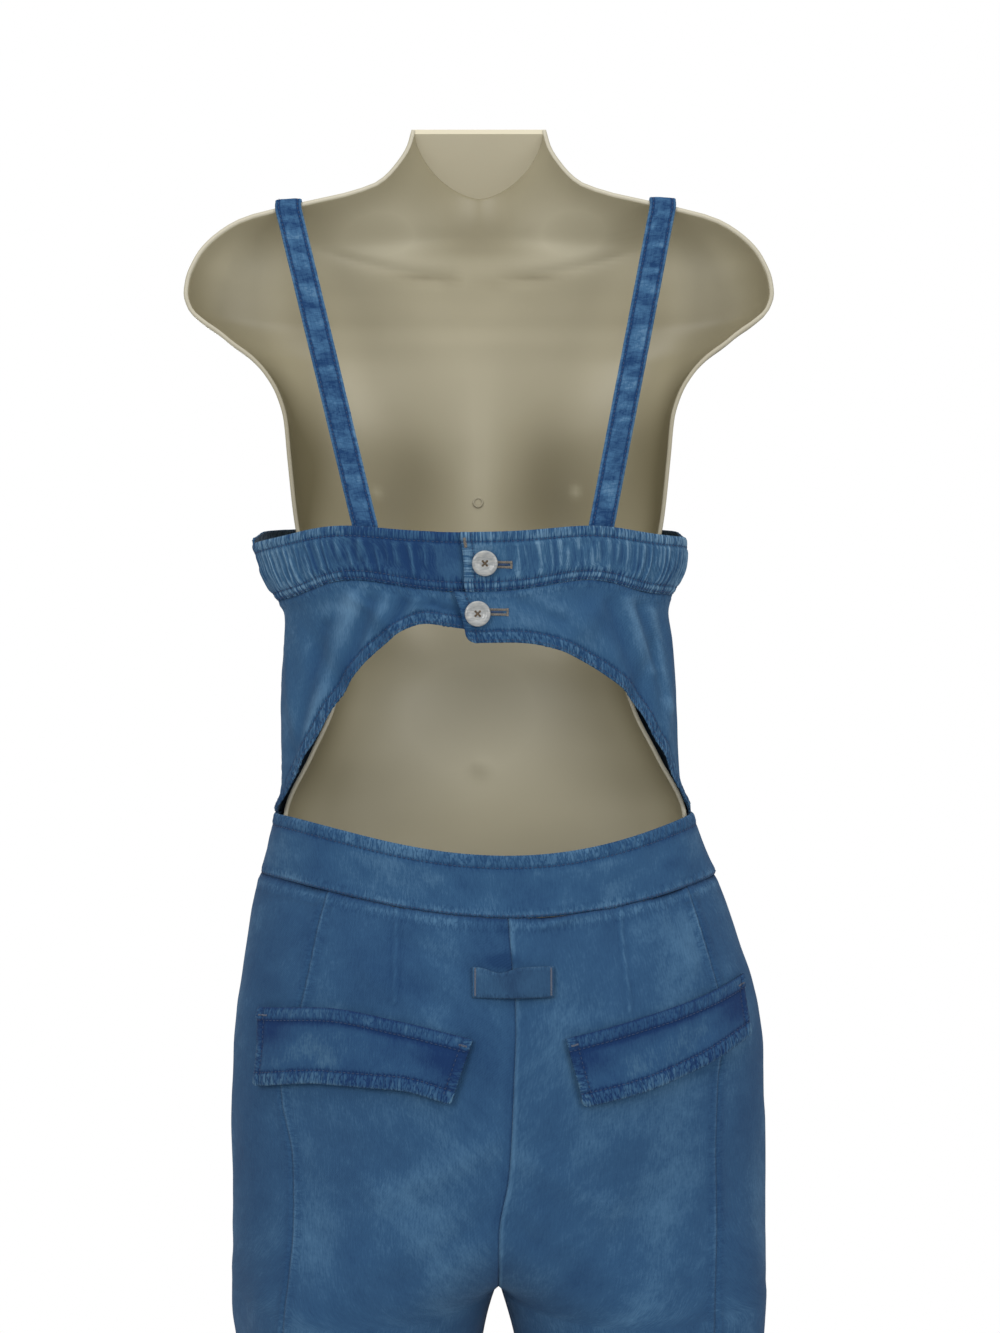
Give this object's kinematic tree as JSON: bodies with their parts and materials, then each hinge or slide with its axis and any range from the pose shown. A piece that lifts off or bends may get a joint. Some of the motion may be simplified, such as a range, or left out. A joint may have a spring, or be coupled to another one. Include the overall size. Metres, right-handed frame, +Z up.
{
  "type": "denim jumpsuit with an open back, on a limbless display torso with a stand",
  "caption": "Sleeveless long-legged denim jumpsuit with shoulder straps, a gathered buttoned back band and an arched back cut-out, on a hollow torso on a stand.",
  "frame": {"origin": "on the floor, under the centre of the stand's round foot", "axes": "+Z up; -Y is the front of the garment and +Y its open back; +X is the wearer's left"},
  "size_m": [0.42, 0.42, 1.575],
  "materials": {
    "denim": "washed mid-blue denim, soft and matte",
    "double_denim": "the same denim doubled and topstitched, a little darker",
    "button": "pearly off-white, four thread holes",
    "torso": "translucent beige plastic with a soft sheen",
    "stand": "satin steel"
  },
  "bodies": {
    "root": {"leg_back_left": "denim", "leg_back_right": "denim", "leg_front_left": "denim", "leg_front_right": "denim", "waistband_back": "double_denim", "waistband_front": "double_denim", "bodice_back_left": "denim", "bodice_back_right": "denim", "bodice_front": "denim", "elastic_band_left": "double_denim", "elastic_band_right": "double_denim", "strap_left": "double_denim", "strap_right": "double_denim", "pocket_flap_left": "double_denim", "pocket_flap_right": "double_denim", "hanging_loop": "double_denim", "button_top": "button", "button_bottom": "button", "display_torso": "torso", "stand_pole": "stand", "stand_foot": "stand"}
  },
  "joints": []
}
